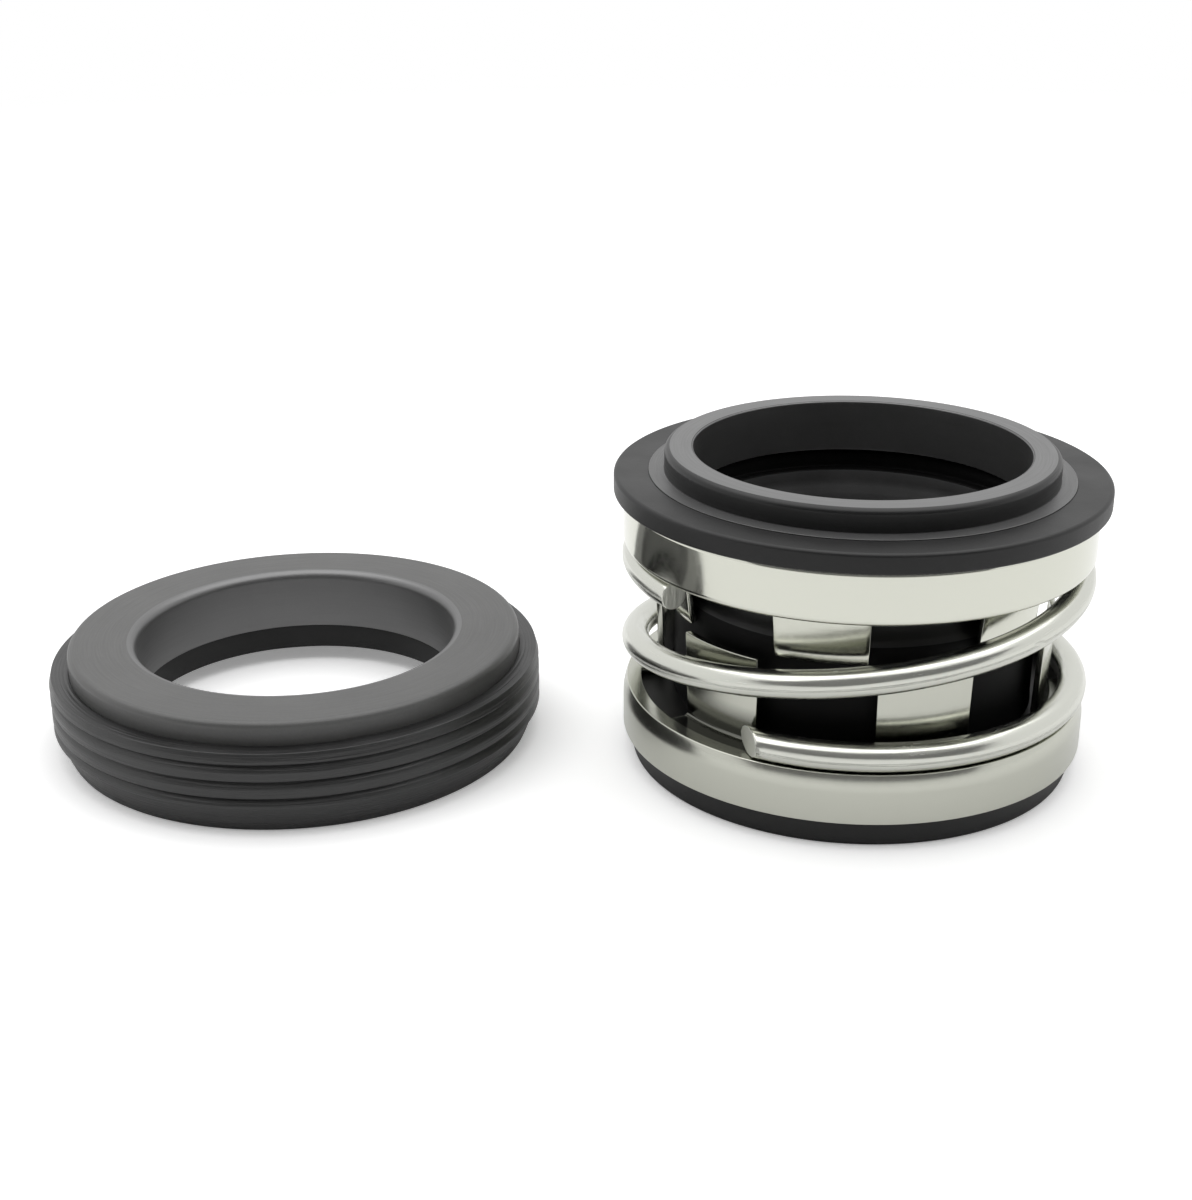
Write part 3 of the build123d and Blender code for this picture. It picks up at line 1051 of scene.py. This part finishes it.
class SEAL_OT_seat_boot(bpy.types.Operator):
    """Build the ribbed rubber boot that holds the seat ring in its housing"""

    bl_idname = "seal.seat_boot"
    bl_label = "Seat boot"

    def execute(self, context):
        sizes = context.scene.seal.seat
        half = sizes.groove_width / 2
        root_low, root_high = 0.1 * MM, 0.22 * MM       # each groove's root, over its middle
        lead_gap, lead_height, ledge_ease = 0.35 * MM, 0.3 * MM, 0.22 * MM
        step_height = 0.05 * MM
        root = sizes.boot - sizes.groove_depth
        ribbed = []
        for groove in reversed(range(sizes.ribs)):
            middle = sizes.ledge - sizes.rib_top - groove * sizes.rib_pitch
            ribbed += [
                (sizes.boot, middle - half, 0.22 * MM),
                (root, middle + root_low, 0.05 * MM),
                (root, middle + root_high, 0.03 * MM),
                (sizes.boot, middle + half, 0.05 * MM),
            ]
        step = ribbed[0][1] - lead_gap
        mesh = turned([
            (sizes.relief, 0.0, 0.1 * MM),
            (sizes.foot, 0.0, 0.25 * MM),
            (sizes.toe, sizes.toe_height, 0.3 * MM),
            (sizes.lead, step - lead_height, 0.15 * MM),
            (sizes.lead, step, 0.03 * MM),
            (sizes.boot, step + step_height, 0.05 * MM),
            *ribbed,
            (sizes.boot - ledge_ease, sizes.ledge, 0.04 * MM),
            (sizes.ring, sizes.ledge, 0.08 * MM),
            (sizes.ring, sizes.back, 0.0),
            (sizes.boot_bore, sizes.back, 0.1 * MM),
            (sizes.boot_bore, sizes.relief_height, 0.12 * MM),
        ])
        for face in mesh.faces:
            in_bore = face.calc_center_median().xy.length < sizes.boot_bore + EDGE
            face.material_index = int(in_bore)
        placed(mesh, SEAT_AXIS)
        colours = context.scene.seal.colours
        waxy = moulded_rubber(
            "Moulded nitrile rubber, waxy", colours.boot, SEAT_AXIS, 1.6, 0.42, marks=0.07 * MM)
        dry = moulded_rubber(
            "Moulded nitrile rubber, dry bore", colours.bellows, SEAT_AXIS, 1.42, 0.55)
        piece = finished(mesh, "seat_boot", "seat_boot", waxy, dry)
        keep_flats_flat(piece)
        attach(piece, "drive_end")
        return {"FINISHED"}


# Floor, light and camera

class SEAL_OT_stage(bpy.types.Operator):
    """Set up the floor, the soft light and the camera"""

    bl_idname = "seal.stage"
    bl_label = "Floor, light and camera"

    def execute(self, context):
        scene = context.scene
        scene.view_settings.view_transform = "Standard"
        lay_floor(scene.seal.colours.floor)
        light_world(scene)
        hang_lights(scene)
        place_camera(scene)
        return {"FINISHED"}


def seen_directly(tree):
    """1 for rays that show the background: to the camera, by reflection or through glass."""
    path = add_node(tree, "ShaderNodeLightPath")
    seen = add_node(tree, "ShaderNodeMath", {
        0: path.outputs["Is Camera Ray"],
        1: path.outputs["Is Glossy Ray"],
    }, operation="MAXIMUM")
    every = add_node(tree, "ShaderNodeMath", {
        0: seen.outputs["Value"],
        1: path.outputs["Is Transmission Ray"],
    }, operation="MAXIMUM")
    return every.outputs["Value"]


def lay_floor(tint):
    """Lay a wide plain floor that fades to a plain white background."""
    half_side, camera_lift = 6.0, 0.28
    fade_start, fade_end = 0.15, 0.5
    mesh = bmesh.new()
    bmesh.ops.create_grid(mesh, x_segments=1, y_segments=1, size=half_side)
    # Uncoated paper has no gloss: it shows only the seal's soft shadow.
    material, tree = new_finish("Matt white paper")
    coordinates = add_node(tree, "ShaderNodeTexCoord")
    distance = add_node(tree, "ShaderNodeVectorMath", {
        0: coordinates.outputs["Object"],
    }, operation="LENGTH")
    paper = add_node(tree, "ShaderNodeBsdfDiffuse", {"Color": tint})
    path = add_node(tree, "ShaderNodeLightPath")
    lift = add_node(tree, "ShaderNodeMath", {
        0: path.outputs["Is Camera Ray"],
        1: camera_lift,
    }, operation="MULTIPLY")
    glow = add_node(tree, "ShaderNodeEmission", {"Color": tint, "Strength": lift.outputs["Value"]})
    lifted = add_node(tree, "ShaderNodeAddShader", {
        0: paper.outputs["BSDF"],
        1: glow.outputs["Emission"],
    })
    white = add_node(tree, "ShaderNodeEmission", {"Color": (1, 1, 1, 1), "Strength": 1.0})
    faded = add_node(tree, "ShaderNodeMapRange", {
        "Value": distance.outputs["Value"],
        "From Min": fade_start,
        "From Max": fade_end,
    })
    far = add_node(tree, "ShaderNodeMath", {
        0: faded.outputs["Result"],
        1: seen_directly(tree),
    }, operation="MULTIPLY")
    mixed = add_node(tree, "ShaderNodeMixShader", {
        0: far.outputs["Value"],
        1: lifted.outputs["Shader"],
        2: white.outputs["Emission"],
    })
    add_node(tree, "ShaderNodeOutputMaterial", {"Surface": mixed.outputs["Shader"]})
    made_object("floor", mesh, material)


def light_world(scene):
    """Soft light from all round, in front of a white background."""
    surround, background = 0.6, 1.0
    white = (1, 1, 1, 1)
    world = bpy.data.worlds.new("Soft surround")
    scene.world = world
    world.use_nodes = True
    tree = world.node_tree
    tree.nodes.clear()
    around = add_node(tree, "ShaderNodeBackground", {"Color": white, "Strength": surround})
    behind = add_node(tree, "ShaderNodeBackground", {"Color": white, "Strength": background})
    mixed = add_node(tree, "ShaderNodeMixShader", {
        0: seen_directly(tree),
        1: around.outputs["Background"],
        2: behind.outputs["Background"],
    })
    add_node(tree, "ShaderNodeOutputWorld", {"Surface": mixed.outputs["Shader"]})


def hang_lights(scene):
    """Hang a large soft light overhead and stand a dark panel behind the camera."""
    width, depth, radiance = 0.9, 0.66, 1.5
    lamp_at = (-0.02, 0.05, 0.5)
    low, high, panel_width = Vector((0.0, -0.62, 0.05)), Vector((0.0, -0.33, 0.5)), 1.6
    lamp = bpy.data.lights.new("overhead_softbox", "AREA")
    lamp.shape = "RECTANGLE"
    lamp.size = width
    lamp.size_y = depth
    lamp.energy = radiance * math.pi * width * depth
    softbox = bpy.data.objects.new("overhead_softbox", lamp)
    softbox.location = lamp_at
    scene.collection.objects.link(softbox)
    lean = Matrix.Rotation(math.atan2(high.z - low.z, high.y - low.y), 3, "X")
    spread = Vector((panel_width, (high - low).length, 1.0))
    place = Matrix.LocRotScale((low + high) / 2, lean, spread)
    mesh = bmesh.new()
    bmesh.ops.create_grid(mesh, x_segments=1, y_segments=1, size=0.5, matrix=place)
    # Pressed felt has no sheen, so the metal mirrors it as one even dark grey.
    material, tree = new_finish("Grey felt")
    surface = add_node(tree, "ShaderNodeBsdfDiffuse", {"Color": linear("909090")})
    add_node(tree, "ShaderNodeOutputMaterial", {"Surface": surface.outputs["BSDF"]})
    panel = made_object("dark_panel", mesh, material)
    panel.visible_camera = False


def place_camera(scene):
    """Stand the camera a little above the seal, looking along +Y and down at it."""
    pitch, roll = math.radians(21.67), math.radians(0.29)
    place, focal_length, nearest = (-0.02092, -0.13816, 0.06770), 54.93, 0.001
    forward = Vector((0.0, math.cos(pitch), -math.sin(pitch)))
    right = Vector((1.0, 0.0, 0.0))
    down = forward.cross(right)
    leaned_right = math.cos(roll) * right + math.sin(roll) * down
    leaned_down = math.cos(roll) * down - math.sin(roll) * right
    lens = bpy.data.cameras.new("camera")
    lens.sensor_width = 36.0
    lens.lens = focal_length
    lens.clip_start = nearest
    camera = bpy.data.objects.new("camera", lens)
    scene.collection.objects.link(camera)
    turn = Matrix((leaned_right, -leaned_down, -forward)).transposed().to_4x4()
    camera.matrix_world = Matrix.Translation(place) @ turn
    scene.camera = camera


class SEAL_PT_parts(bpy.types.Panel):
    """Settings and operators of the mechanical seal"""

    bl_idname = "SEAL_PT_parts"
    bl_label = "Mechanical seal"
    bl_space_type = "VIEW_3D"
    bl_region_type = "UI"
    bl_category = "Mechanical seal"

    def draw(self, context):
        layout = self.layout
        layout.use_property_split = True
        for piece in PIECES:
            layout.operator(piece.bl_idname)
        settings = context.scene.seal
        for group in (settings.head, settings.spring, settings.seat, settings.colours):
            box = layout.box()
            for name in group.__annotations__:
                box.prop(group, name)


PIECES = (
    SEAL_OT_primary_ring,
    SEAL_OT_bellows,
    SEAL_OT_shells,
    SEAL_OT_coil_spring,
    SEAL_OT_seat_ring,
    SEAL_OT_seat_boot,
    SEAL_OT_stage,
)
CLASSES = (
    SealHeadSizes,
    SealSpringSizes,
    SealSeatSizes,
    SealColours,
    SealSettings,
    *PIECES,
    SEAL_PT_parts,
)


def register():
    for each in CLASSES:
        bpy.utils.register_class(each)
    bpy.types.Scene.seal = PointerProperty(type=SealSettings)


def unregister():
    del bpy.types.Scene.seal
    for each in reversed(CLASSES):
        bpy.utils.unregister_class(each)


def main():
    register()
    bpy.ops.seal.primary_ring()
    bpy.ops.seal.bellows()
    bpy.ops.seal.shells()
    bpy.ops.seal.coil_spring()
    bpy.ops.seal.seat_ring()
    bpy.ops.seal.seat_boot()
    bpy.ops.seal.stage()


if __name__ == "__main__":
    main()
